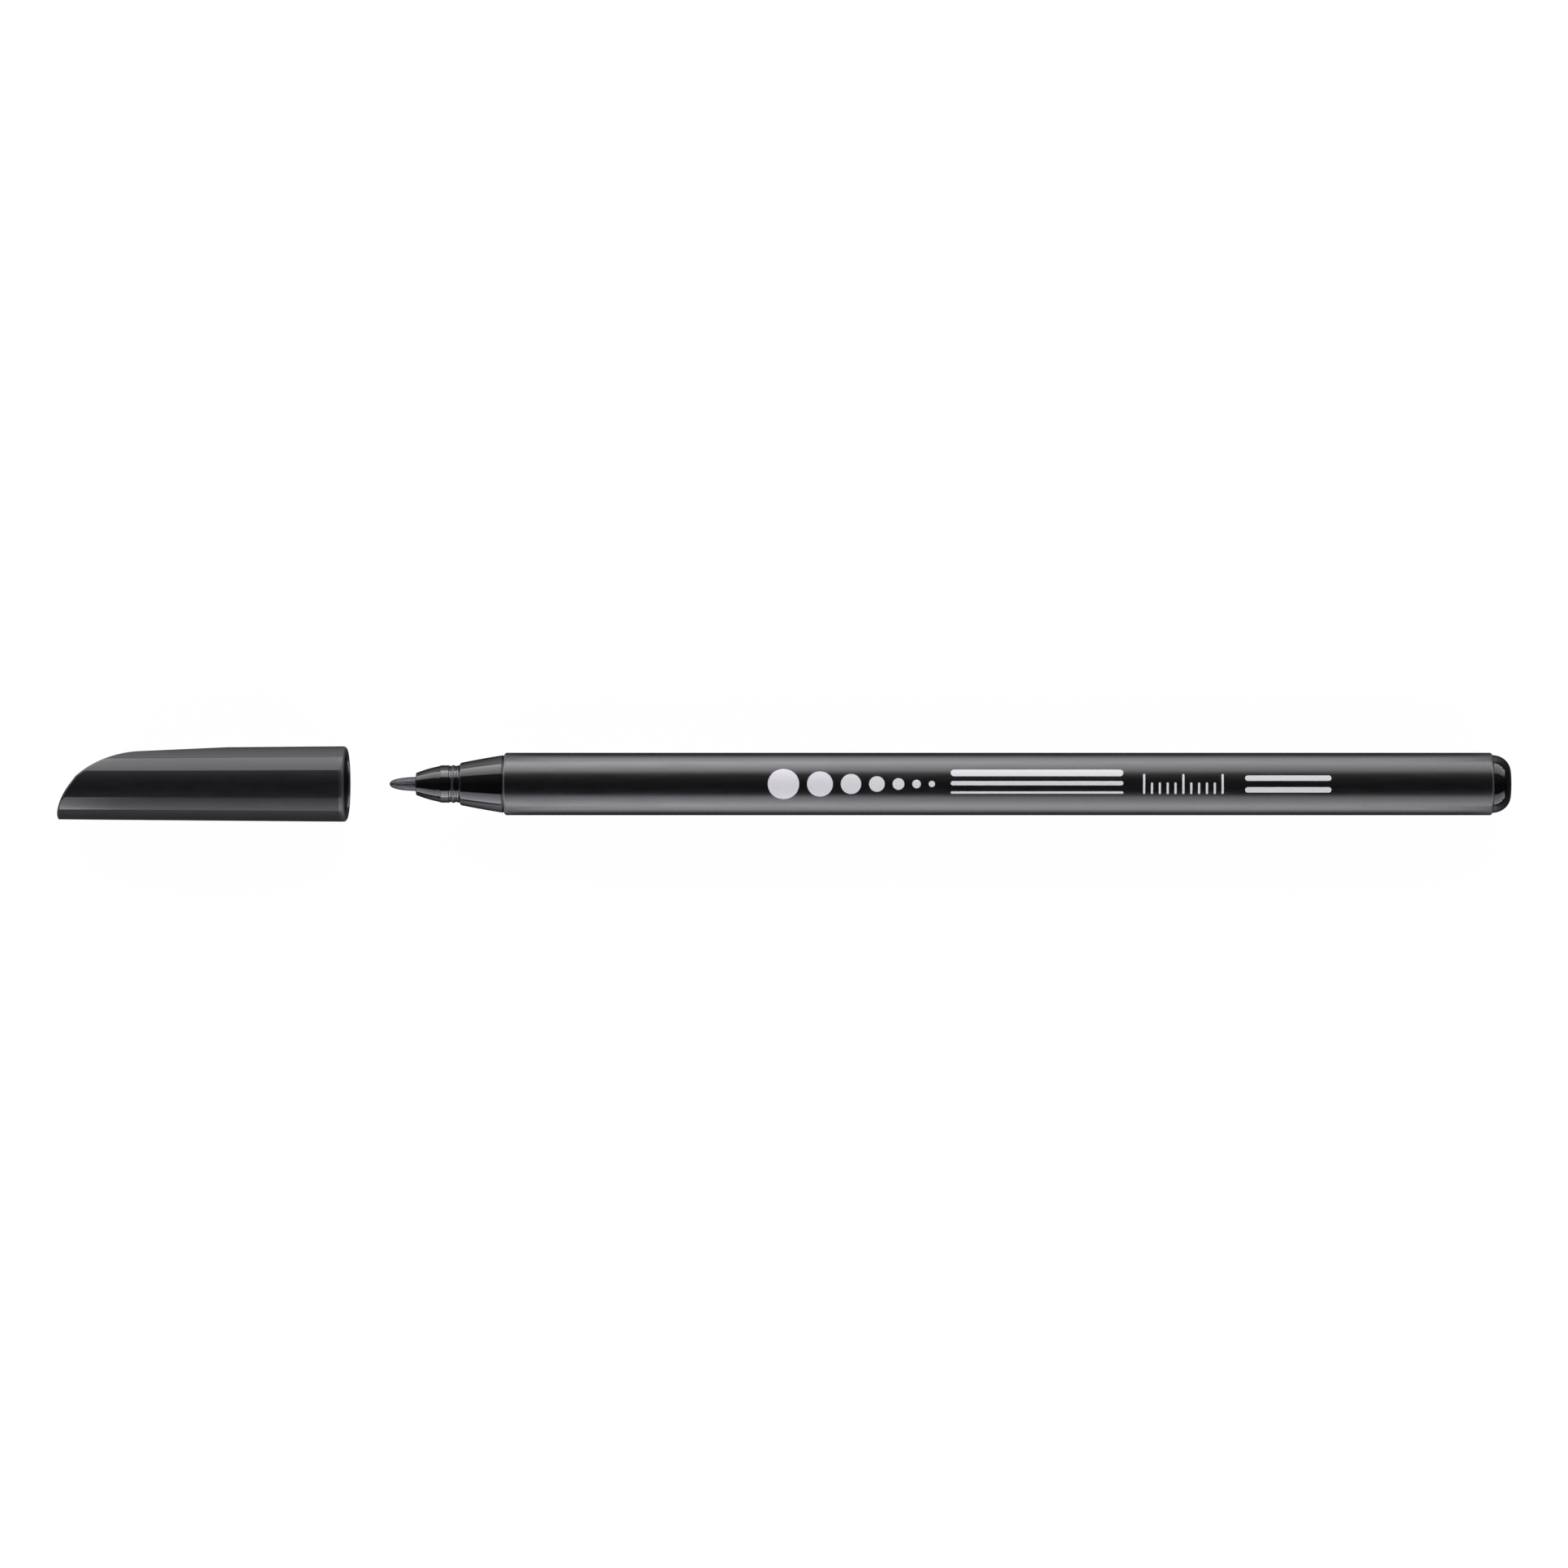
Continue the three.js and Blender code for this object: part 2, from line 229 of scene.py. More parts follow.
barrel_front, barrel_rear = ends("barrel")
barrel_radius = half_height("barrel")
barrel_bore = barrel_radius - BARREL_WALL
tenon_radius = barrel_bore - PRESS_CLEARANCE
section_front, _ = ends("front_section")
section_rear_radius = half_height("front_section")
nose_front, nose_end = ends("nib_holder")
nose_seam = section_front - SEAM_GAP
collar_radius = half_height("nib_holder") - BEAD_HEIGHT
nib_tip, nib_end = ends("fibre_nib")
nib_radius = half_height("fibre_nib")
nib_bore = nib_radius + PRESS_CLEARANCE
nose_tenon_radius = nib_bore + NOSE_TENON_WALL
plug_tenon_end, plug_end = ends("tail_plug")
plug_front = barrel_rear + PRESS_CLEARANCE
plug_radius = half_height("tail_plug")
cap_start, cap_mouth = ends("cap_shell")
cap_length = cap_mouth - cap_start
cap_radius = half_height("cap_shell")
cap_bore = barrel_radius + SLIDE_CLEARANCE
liner_start, liner_mouth = ends("cap_liner")
liner_radius = half_height("cap_liner")


# Meshes

def on_ring(x, radius, turn):
    """A point at a distance from the axis. Turn 0 is on top, and the point goes towards +Y first."""
    return Vector((x, radius * math.sin(turn), AXIS_HEIGHT + radius * math.cos(turn)))


def grid_piece(name, grids, material, body):
    """One mesh from grids of (point, paleness) rows; the paleness is edge wear and a painted highlight
    line. Points that fall together are merged.
    """
    mesh = bmesh.new()
    wear_and_highlight_layer = mesh.verts.layers.float.new("wear_and_highlight")
    for rows in grids:
        made = []
        for row in rows:
            line = []
            for point, wear_and_highlight in row:
                vertex = mesh.verts.new(point * MM)
                vertex[wear_and_highlight_layer] = wear_and_highlight
                line.append(vertex)
            made.append(line)
        for this, following in zip(made, made[1:]):
            for k in range(len(this) - 1):
                mesh.faces.new((this[k], this[k + 1], following[k + 1], following[k]))
    bmesh.ops.remove_doubles(mesh, verts=mesh.verts, dist=MERGE_DISTANCE * MM)
    bmesh.ops.dissolve_degenerate(mesh, edges=mesh.edges, dist=MERGE_DISTANCE * MM)
    bmesh.ops.recalc_face_normals(mesh, faces=mesh.faces)
    data = bpy.data.meshes.new(name)
    mesh.to_mesh(data)
    mesh.free()
    data.shade_smooth()
    data.set_sharp_from_angle(angle=SHARP_ANGLE)
    data.materials.append(material)
    piece = bpy.data.objects.new(name, data)
    bpy.context.scene.collection.objects.link(piece)
    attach(piece, body)
    return piece


def divided(profile):
    """The profile with points along its long straight runs, one of them close to each end."""
    full = [profile[0]]
    for before, after in zip(profile, profile[1:]):
        length = math.dist(before[:2], after[:2])
        shares = [1.0]
        if length > LONG_RUN:
            parts = max(1, round(length / ROW_STEP))
            between = [part / parts for part in range(1, parts)]
            shares = [ROW_INSET / length] + between + [1 - ROW_INSET / length, 1.0]
        for share in shares:
            full.append(tuple(a + (b - a) * share for a, b in zip(before, after)))
    return full


def turned_rows(profile, segments=TURN_SEGMENTS):
    """Rows round the axis from (x, radius, paleness) points, the paleness being edge wear and a painted
    highlight line.
    """
    turns = [math.tau * k / segments for k in range(segments)] + [0.0]
    return [[(on_ring(x, radius, turn), wear_and_highlight) for turn in turns] for x, radius, wear_and_highlight in divided(profile)]


def plain(points, wear_and_highlight=0.0):
    return [(x, radius, wear_and_highlight) for x, radius in points]


def quarter_round(start, finish, from_face, wear_and_highlight=0.0):
    """A quarter round between two points, square to the axis at its start where from_face is true."""
    points = []
    for step in range(ARC_STEPS + 1):
        turn = math.pi / 2 * step / ARC_STEPS
        along = 1 - math.cos(turn) if from_face else math.sin(turn)
        out = math.sin(turn) if from_face else 1 - math.cos(turn)
        x = start[0] + (finish[0] - start[0]) * along
        radius = start[1] + (finish[1] - start[1]) * out
        # The round is painted palest at its middle: edge wear and a painted highlight line.
        points.append((x, radius, wear_and_highlight * math.sin(2 * turn)))
    return points


def swollen_run(start, finish, swell):
    """A run between two points that swells outwards between them. It leaves its start out."""
    inset = ROW_INSET / math.dist(start, finish)
    between = [step / ARC_STEPS for step in range(1, ARC_STEPS)]
    points = []
    for share in [inset] + between + [1 - inset, 1.0]:
        x = start[0] + (finish[0] - start[0]) * share
        radius = start[1] + (finish[1] - start[1]) * share
        points.append((x, radius + 4 * swell * share * (1 - share), 0.0))
    return points


def turned_piece(name, profile, material, body):
    closed = profile if profile[0][1] == 0 else profile + profile[:1]
    return grid_piece(name, [turned_rows(closed)], material, body)


def barrel_profile():
    face = barrel_radius - BARREL_EDGE
    front = quarter_round((barrel_front, face), (barrel_front + BARREL_EDGE, barrel_radius), True,
                          BARREL_EDGE_WEAR_AND_HIGHLIGHT)
    rear = quarter_round((barrel_rear - BARREL_EDGE, barrel_radius), (barrel_rear, face), False,
                         BARREL_EDGE_WEAR_AND_HIGHLIGHT)
    inside = plain([(barrel_rear, barrel_bore), (barrel_front, barrel_bore)])
    return front + rear + inside


def section_profile():
    shoulder = barrel_front - SEAM_GAP
    tenon_end = barrel_front + SECTION_TENON_LENGTH
    edge_end = (section_front + SECTION_EDGE, SECTION_FRONT_RADIUS)
    front = quarter_round((section_front, SECTION_FRONT_RADIUS - SECTION_EDGE), edge_end, True,
                          SECTION_EDGE_WEAR_AND_HIGHLIGHT)
    rear_edge = (shoulder - SECTION_REAR_EDGE, section_rear_radius)
    cone = swollen_run(edge_end, rear_edge, SECTION_SWELL)
    rear = quarter_round(rear_edge, (shoulder, section_rear_radius - SECTION_REAR_EDGE), False)
    nose_bore = nose_tenon_radius + PRESS_CLEARANCE
    core = tenon_radius - SECTION_TENON_WALL
    rest = plain([
        (shoulder, tenon_radius),
        (tenon_end - ENTRY_CHAMFER, tenon_radius),
        (tenon_end, tenon_radius - ENTRY_CHAMFER),
        (tenon_end, core),
        (nose_end + SEAM_GAP, core),
        (nose_end + SEAM_GAP, nose_bore),
        (section_front, nose_bore),
    ])
    return front + cone + rear + rest


def cone_and_collar():
    """The nose's cone and tapered collar, then a groove, a ring bead and a second groove."""
    cone_end = (nose_front + NOSE_CONE_LENGTH, COLLAR_FRONT_RADIUS)
    points = swollen_run((nose_front + NOSE_LIP, NOSE_FRONT_RADIUS), cone_end, NOSE_CONE_SWELL)
    points.append((cone_end[0] + COLLAR_TAPER_LENGTH, collar_radius, 0.0))
    bead = nose_seam - BEAD_FROM_SEAM
    floor = collar_radius - GROOVE_DEPTH
    front = bead - BEAD_HALF_WIDTH - GROOVE_WIDTH
    rear = bead + BEAD_HALF_WIDTH + GROOVE_WIDTH
    points.append((front - GROOVE_DEPTH, collar_radius, 0.0))
    points.append((front, floor, 0.0))
    for step in range(ARC_STEPS + 1):
        turn = math.pi * step / ARC_STEPS
        x = bead - BEAD_HALF_WIDTH * math.cos(turn)
        rise = (BEAD_HEIGHT + GROOVE_DEPTH) * math.sin(turn)
        # The bead's crest is painted pale, a painted highlight line that fades down its flanks.
        points.append((x, floor + rise, math.sin(turn) ** BEAD_HIGHLIGHT_POWER))
    points.append((rear, floor, 0.0))
    points.append((rear + GROOVE_DEPTH, collar_radius, 0.0))
    return points


def nose_profile():
    lip = quarter_round((nose_front, NOSE_FRONT_RADIUS - NOSE_LIP),
                        (nose_front + NOSE_LIP, NOSE_FRONT_RADIUS), True, NOSE_LIP_WEAR_AND_HIGHLIGHT)
    tenon = plain([
        (nose_seam, collar_radius),
        (nose_seam, nose_tenon_radius),
        (nose_end - ENTRY_CHAMFER, nose_tenon_radius),
        (nose_end, nose_tenon_radius - ENTRY_CHAMFER),
        (nose_end, nib_bore),
        (nose_front, nib_bore),
    ])
    return lip + cone_and_collar() + tenon


def nib_profile():
    """The rod's writing end is a blunt bullet."""
    points = [(nib_tip, 0.0)]
    steps = 3 * ARC_STEPS
    for step in range(1, steps + 1):
        share = (step / steps) ** 2
        swell = (1 - (1 - share) ** 2) ** NIB_BLUNTNESS
        points.append((nib_tip + NIB_EXPOSED * share, nib_radius * swell))
    return plain(points + [(nib_end, nib_radius), (nib_end, 0.0)])


def plug_profile():
    recess = tenon_radius - PLUG_TENON_WALL
    recess_end = plug_tenon_end + PLUG_RECESS_DEPTH
    inner = plain([
        (recess_end, 0.0),
        (recess_end, recess),
        (plug_tenon_end, recess),
        (plug_tenon_end, tenon_radius - ENTRY_CHAMFER),
        (plug_tenon_end + ENTRY_CHAMFER, tenon_radius),
        (plug_front, tenon_radius),
    ])
    dome = quarter_round((plug_front, plug_radius), (plug_end, PLUG_FLAT_RADIUS), False)
    return inner + dome + plain([(plug_end, 0.0)])


def liner_profile():
    seat = liner_mouth - LINER_SEAT_LENGTH
    floor = liner_start + LINER_END_WALL
    bore = liner_radius - LINER_WALL
    tip_bore = LINER_TIP_RADIUS - LINER_WALL
    return plain([
        (liner_start, 0.0),
        (liner_start, LINER_TIP_RADIUS),
        (seat - (liner_radius - LINER_TIP_RADIUS), LINER_TIP_RADIUS),
        (seat, liner_radius),
        (liner_mouth, liner_radius),
        (liner_mouth, bore),
        (floor + LINER_NIB_ROOM, bore),
        (floor + LINER_NIB_ROOM, tip_bore),
        (floor, tip_bore),
        (floor, 0.0),
    ])


# Cap shell. Its side view has a foot arc and a brow arc, each with a straight run on from its end.
# A ball of the rim's radius rolls along the slant's edge and leaves the rounded rim.

def cap_outer_radius(along):
    return cap_radius - CAP_TAPER * (1 - along / (cap_length - CAP_LIP))


def arc_run(arc, along, inset):
    """Height of an arc with its straight run, moved in by inset, and its outward normal."""
    radius = arc["radius"] - inset
    end_cos, end_sin = math.cos(arc["end"]), math.sin(arc["end"])
    arc_end = arc["centre"] + radius * end_cos
    if along < arc_end:
        normal_along = (along - arc["centre"]) / radius
        normal_height = math.sqrt(1 - normal_along ** 2)
        return radius * normal_height - arc["drop"], (normal_along, normal_height)
    height = radius * end_sin - arc["drop"] - (along - arc_end) * end_cos / end_sin
    return height, (end_cos, end_sin)


def slant_at(along, inset):
    foot = arc_run(SLANT_FOOT, along, inset)
    brow = arc_run(SLANT_BROW, along, inset)
    return min(foot, brow, key=lambda run: run[0])


def halve(low, high, is_past):
    """Where is_past turns true between low and high."""
    for _ in range(HALVINGS):
        middle = (low + high) / 2
        low, high = (low, middle) if is_past(middle) else (middle, high)
    return (low + high) / 2


def ball_stations():
    """Where the ball's centre goes up the slant: (along, height, face normal), from the end face up."""
    kink = halve(SLANT_RIM, SLANT_FOOT["centre"], lambda along: (
        arc_run(SLANT_BROW, along, SLANT_RIM)[0] < arc_run(SLANT_FOOT, along, SLANT_RIM)[0]))
    top = halve(SLANT_BROW["centre"], cap_length, lambda along: (
        slant_at(along, SLANT_RIM)[0] > cap_outer_radius(along) - SLANT_RIM))
    stations = []

    def fan(along, first, last):
        height = slant_at(along, SLANT_RIM)[0]
        for step in range(FAN_ROWS + 1):
            share = step / FAN_ROWS
            normal = Vector(first).lerp(Vector(last), share).normalized()
            stations.append((along, height, normal))

    fan(SLANT_RIM, (-1.0, 0.0), arc_run(SLANT_FOOT, SLANT_RIM, SLANT_RIM)[1])
    for step in range(1, FOOT_ROWS):
        along = SLANT_RIM + (kink - SLANT_RIM) * (step / FOOT_ROWS) ** 2
        height, normal = arc_run(SLANT_FOOT, along, SLANT_RIM)
        stations.append((along, height, Vector(normal)))
    fan(kink, arc_run(SLANT_FOOT, kink, SLANT_RIM)[1], arc_run(SLANT_BROW, kink, SLANT_RIM)[1])
    for step in range(1, BROW_ROWS + 1):
        along = kink + (top - kink) * math.sin(math.pi / 2 * step / BROW_ROWS)
        height, normal = arc_run(SLANT_BROW, along, SLANT_RIM)
        stations.append((along, height, Vector(normal)))
    return stations


def cap_point(along, height, side):
    return Vector((cap_start + along, height, AXIS_HEIGHT + side))


def across_slant(along, height, normal, rim):
    """From the shell's side over one rounded rim, across the slanted face and down the other rim."""
    reach = cap_outer_radius(along) - rim
    side = math.sqrt(max(0.0, reach ** 2 - height ** 2))
    face = Vector((normal[0], normal[1], 0.0))
    flank = Vector((0.0, height, side)) / reach
    rounding = [flank.slerp(face, step / RIM_STEPS) for step in range(RIM_STEPS + 1)]
    row = []
    for step, out in enumerate(rounding):
        # The rim's rounding is painted palest at its middle: edge wear and a painted highlight line.
        wear_and_highlight = math.sin(math.pi * step / RIM_STEPS)
        row.append((cap_point(along, height, side) + out * rim, wear_and_highlight))
    for step in range(1, RUNG_STEPS):
        middle = cap_point(along, height, side * (1 - 2 * step / RUNG_STEPS))
        row.append((middle + face * rim, 0.0))
    mirrored = []
    for point, wear_and_highlight in row[:RIM_STEPS + 1]:
        mirrored.append((Vector((point.x, point.y, 2 * AXIS_HEIGHT - point.z)), wear_and_highlight))
    return row + mirrored[::-1]


def cap_shell_grids():
    """One grid over the end face and the slant, and one round the shell and on into its bore."""
    stations = ball_stations()
    foot_height = stations[0][1]
    full_turn = math.acos(-foot_height / (cap_outer_radius(SLANT_RIM) - SLANT_RIM))
    slant_rows = []
    under_row = []
    for step in range(END_ROWS + 1):
        share = step / END_ROWS
        rim = END_RIM + (SLANT_RIM - END_RIM) * share ** 2 * (3 - 2 * share)
        turn = full_turn * share
        height = -(cap_outer_radius(rim) - rim) * math.cos(turn)
        slant_rows.append(across_slant(rim, height, (-1.0, 0.0), rim))
        under_row.append(slant_rows[-1][0])
    mirrored = []
    for point, wear_and_highlight in under_row[:0:-1]:
        mirrored.append((point, wear_and_highlight))
    left = [(Vector((point.x, point.y, 2 * AXIS_HEIGHT - point.z)), wear_and_highlight) for point, wear_and_highlight in under_row]
    shell_rows = [mirrored + left]
    columns = 2 * END_ROWS
    for along, height, normal in stations:
        slant_rows.append(across_slant(along, height, normal, SLANT_RIM))
        radius = cap_outer_radius(along)
        side = math.sqrt(max(0.0, (radius - SLANT_RIM) ** 2 - height ** 2))
        turn = math.atan2(side, -height)
        shell_rows.append(under_arc(along, radius, turn, columns))
    shell_rows += cap_mouth_rows(stations[-1][0], columns)
    return [slant_rows, shell_rows]


def under_arc(along, radius, turn, columns, wear_and_highlight=0.0):
    """Round the shell from turn on one side, under it, to turn on the other, from straight below."""
    row = []
    for k in range(columns + 1):
        angle = turn * (1 - 2 * k / columns)
        point = cap_point(along, -radius * math.cos(angle), radius * math.sin(angle))
        row.append((point, wear_and_highlight))
    return row


def cap_mouth_rows(top, columns):
    """The rest of the shell: round to the lip, into the bore and down to the liner's end."""
    lip_start = cap_length - CAP_LIP
    lip_face = cap_radius - CAP_LIP
    bore_edge = (lip_face - cap_bore) / 2
    section_bore = section_rear_radius + CAP_SECTION_CLEARANCE
    seat_bore = liner_radius + PRESS_CLEARANCE
    step = cap_length - CAP_BORE_DEPTH
    seat = liner_mouth - cap_start
    line_start = lip_start - LIP_LINE_WIDTH
    line_middle = lip_start - LIP_LINE_WIDTH / 2
    straight = [(along, cap_outer_radius(along), 0.0) for along in (top, line_start)]
    profile = divided(straight)[1:]
    # The line beside the lip is painted pale, a painted highlight.
    profile.append((line_middle, cap_outer_radius(line_middle) - LIP_LINE_DEPTH, LIP_LINE_HIGHLIGHT))
    profile += quarter_round((lip_start, cap_radius), (cap_length, lip_face), False, CAP_LIP_WEAR_AND_HIGHLIGHT)
    profile += quarter_round((cap_length, cap_bore + bore_edge),
                             (cap_length - BORE_LEAD_IN, cap_bore), True, CAP_BORE_WEAR_AND_HIGHLIGHT)
    profile += plain([
        (step, cap_bore),
        (step, section_bore),
        (seat, section_bore),
        (seat, seat_bore),
        (liner_start - cap_start, seat_bore),
        (liner_start - cap_start, 0.0),
    ])
    return [under_arc(along, radius, math.pi, columns, wear_and_highlight) for along, radius, wear_and_highlight in profile]


# Printed marks: plain dots, strokes and ticks

def mark_rows(start, length, width, offset=0.0):
    """A closed thin stroke bent round the barrel's top. Its corners are as round as they can be."""
    corner = min(width, length) / 2
    turns = [math.pi / 2 * step / PRINT_COLUMNS for step in range(PRINT_COLUMNS + 1)]
    head = [(corner * (1 - math.cos(turn)), width / 2 - corner * (1 - math.sin(turn))) for turn in turns]
    columns = [(start, 0.0)]
    columns += [(start + inset, half) for inset, half in head]
    columns += [(start + length - inset, half) for inset, half in reversed(head)]
    columns.append((start + length, 0.0))
    rows = []
    for x, half in columns:
        across = [offset + half * (2 * k / PRINT_ACROSS - 1) for k in range(PRINT_ACROSS + 1)]
        outside = [on_ring(x, barrel_radius + PRINT_RISE, y / barrel_radius) for y in across]
        inside = [on_ring(x, barrel_radius - PRINT_SINK, y / barrel_radius) for y in across]
        ring = outside + inside[::-1] + outside[:1]
        rows.append([(point, 0.0) for point in ring])
    return rows


def print_marks():
    """Dots that shrink, three lines that thin out, a short scale of ticks and a pair of bars."""
    marks = []
    x = PRINT_START
    for diameter in DOT_DIAMETERS:
        marks.append(mark_rows(x, diameter, diameter))
        x += diameter + DOT_GAP
    x += LINE_GAP
    for width, offset in LINE_WIDTHS_AND_OFFSETS:
        marks.append(mark_rows(x, LINE_LENGTH, width, offset))
    x += LINE_LENGTH + TICK_GAP
    for tick in range(TICK_COUNT):
        height = SHORT_TICK if tick % LONG_TICK_EVERY else LONG_TICK
        marks.append(mark_rows(x, TICK_WIDTH, height, (height - LONG_TICK) / 2))
        x += TICK_PITCH
    x += BAR_GAP
    for offset in BAR_OFFSETS:
        marks.append(mark_rows(x, BAR_LENGTH, BAR_WIDTH, offset))
    return marks


# Materials

def new_material(name):
    material = bpy.data.materials.new(name)
    material.use_nodes = True
    tree = material.node_tree
    return material, tree, tree.nodes["Principled BSDF"]


def add(tree, kind, inputs=None, **settings):
    """A node with its settings and with its inputs set, or linked where the value is a socket."""
    made = tree.nodes.new(kind)
    for name, value in settings.items():
        setattr(made, name, value)
    for name, value in (inputs or {}).items():
        if isinstance(value, bpy.types.NodeSocket):
            tree.links.new(value, made.inputs[name])
        else:
            made.inputs[name].default_value = value
    return made


def noise(tree, scale, detail=3.0, stretch=(1.0, 1.0, 1.0)):
    """Noise in the piece's own space. Scale is in features a metre."""
    place = add(tree, "ShaderNodeTexCoord").outputs["Object"]
    mapped = add(tree, "ShaderNodeMapping", {"Vector": place, "Scale": stretch})
    inputs = {"Vector": mapped.outputs["Vector"], "Scale": scale, "Detail": detail}
    return add(tree, "ShaderNodeTexNoise", inputs).outputs["Fac"]


def spread(tree, value, from_low, from_high, to_low, to_high):
    inputs = {"Value": value, "From Min": from_low, "From Max": from_high,
              "To Min": to_low, "To Max": to_high}
    return add(tree, "ShaderNodeMapRange", inputs).outputs["Result"]


def blend_colours(tree, share, first, second):
    mix = tree.nodes.new("ShaderNodeMix")
    mix.data_type = "RGBA"
    tree.links.new(share, mix.inputs["Factor"])
    for socket, value in ((mix.inputs[6], first), (mix.inputs[7], second)):
        if isinstance(value, bpy.types.NodeSocket):
            tree.links.new(value, socket)
        else:
            socket.default_value = (*value, 1.0)
    return mix.outputs[2]


def levels(tree, value, stops):
    """Straight runs between stops of (value, level)."""
    first, last = stops[0][0], stops[-1][0]
    peak = max(level for _, level in stops)
    share = spread(tree, value, first, last, 0.0, 1.0)
    made = add(tree, "ShaderNodeValToRGB", {"Fac": share})
    elements = made.color_ramp.elements
    elements.remove(elements[1])
    for number, (place, level) in enumerate(stops):
        position = (place - first) / (last - first)
        element = elements.new(position) if number else elements[0]
        element.position = position
        element.color = (level / peak, level / peak, level / peak, 1.0)
    return multiply(tree, made.outputs["Color"], peak)


def multiply(tree, first, second):
    made = add(tree, "ShaderNodeMath", operation="MULTIPLY")
    for socket, value in zip(made.inputs, (first, second)):
        if isinstance(value, bpy.types.NodeSocket):
            tree.links.new(value, socket)
        else:
            socket.default_value = value
    return made.outputs["Value"]


def bump(tree, height, depth, below=None):
    """Height is 0 to 1, and depth is in millimetres."""
    inputs = {"Height": height, "Distance": depth * MM, "Strength": 1.0}
    if below is not None:
        inputs["Normal"] = below
    return add(tree, "ShaderNodeBump", inputs).outputs["Normal"]


def edge_wear_and_highlight(tree):
    """Where an edge is painted paler: partly wear left by handling and the mould, partly a painted
    highlight line where the edge would catch light. It is the mesh's own values, broken up.
    """
    wear_and_highlight = add(tree, "ShaderNodeAttribute", attribute_name="wear_and_highlight").outputs["Fac"]
    patches = spread(tree, noise(tree, WEAR_SCALE), 0.3, 0.6, 0.55, 1.0)
    return multiply(tree, wear_and_highlight, patches)


def moulded_plastic(name, dark, light, roughness, ripple, grain, worn_and_highlight, ior=1.55):
    """Black moulded plastic: slow ripple and fine grain in the surface, faint patches, and paler edges
    that are partly wear and partly painted highlight.
    """
    material, tree, shader = new_material(name)
    patches = noise(tree, PATCH_SCALE, 4.0)
    base = blend_colours(tree, spread(tree, patches, 0.35, 0.65, 0.0, 1.0), dark, light)
    wear_and_highlight = edge_wear_and_highlight(tree)
    # Edges blend to the pale colour: partly wear, partly a painted highlight.
    tree.links.new(blend_colours(tree, wear_and_highlight, base, worn_and_highlight), shader.inputs["Base Color"])
    scuffs = noise(tree, SCUFF_SCALE, 5.0, (0.12, 1.0, 1.0))
    low, high = roughness
    tree.links.new(spread(tree, scuffs, 0.35, 0.7, low, high), shader.inputs["Roughness"])
    slow = bump(tree, noise(tree, RIPPLE_SCALE, 1.0, (0.35, 1.0, 1.0)), ripple)
    fine = bump(tree, noise(tree, GRAIN_SCALE, 2.0), grain, slow)
    tree.links.new(fine, shader.inputs["Normal"])
    shader.inputs["IOR"].default_value = ior
    return material


def lacquer(material):
    """A clear coat over a duller body. It has gone along the paler edges, where they are worn and where
    a highlight is painted.
    """
    tree = material.node_tree
    inputs = tree.nodes["Principled BSDF"].inputs
    tree.links.new(spread(tree, edge_wear_and_highlight(tree), 0.0, 1.0, 1.0, WORN_COAT), inputs["Coat Weight"])
    inputs["Specular IOR Level"].default_value = CAP_BODY_SPECULAR
    inputs["Coat Roughness"].default_value = CAP_COAT_ROUGHNESS
    inputs["Coat IOR"].default_value = CAP_COAT_IOR


def fibre(name, dark, light, depth, scale):
    """Bonded fibre soaked with ink: strands run along the rod, some wet and dark, some paler."""
    material, tree, shader = new_material(name)
    strands = noise(tree, scale, 4.0, (0.09, 1.0, 1.0))
    clumps = noise(tree, scale / 4, 3.0, (0.3, 1.0, 1.0))
    share = multiply(tree, spread(tree, strands, 0.38, 0.66, 0.0, 1.0),
                     spread(tree, clumps, 0.3, 0.65, 0.25, 1.0))
    tree.links.new(blend_colours(tree, share, dark, light), shader.inputs["Base Color"])
    tree.links.new(spread(tree, clumps, 0.3, 0.7, 0.3, 0.55), shader.inputs["Roughness"])
    tree.links.new(bump(tree, strands, depth), shader.inputs["Normal"])
    shader.inputs["IOR"].default_value = 1.6
    return material


def silver_print():
    """Screen-printed silver: pale flakes with a fine tooth."""
    material, tree, shader = new_material("silver_print")
    flakes = noise(tree, FLAKE_SCALE, 2.0)
    colour = blend_colours(tree, spread(tree, flakes, 0.35, 0.65, 0.0, 1.0),
                           (0.74, 0.74, 0.75), (0.88, 0.88, 0.89))
    tree.links.new(colour, shader.inputs["Base Color"])
    tree.links.new(spread(tree, flakes, 0.3, 0.7, 0.42, 0.58), shader.inputs["Roughness"])
    tree.links.new(bump(tree, noise(tree, PRINT_TOOTH_SCALE), 0.002), shader.inputs["Normal"])
    return material


def clear_film():
    material, tree, shader = new_material("clear_film")
    creases = noise(tree, CREASE_SCALE, 4.0, (0.2, 1.0, 1.0))
    colour = blend_colours(tree, creases, (0.55, 0.57, 0.6), (0.66, 0.68, 0.7))
    tree.links.new(colour, shader.inputs["Base Color"])
    tree.links.new(spread(tree, creases, 0.3, 0.7, 0.12, 0.3), shader.inputs["Roughness"])
    tree.links.new(bump(tree, creases, 0.01), shader.inputs["Normal"])
    shader.inputs["Transmission Weight"].default_value = 0.6
    return material


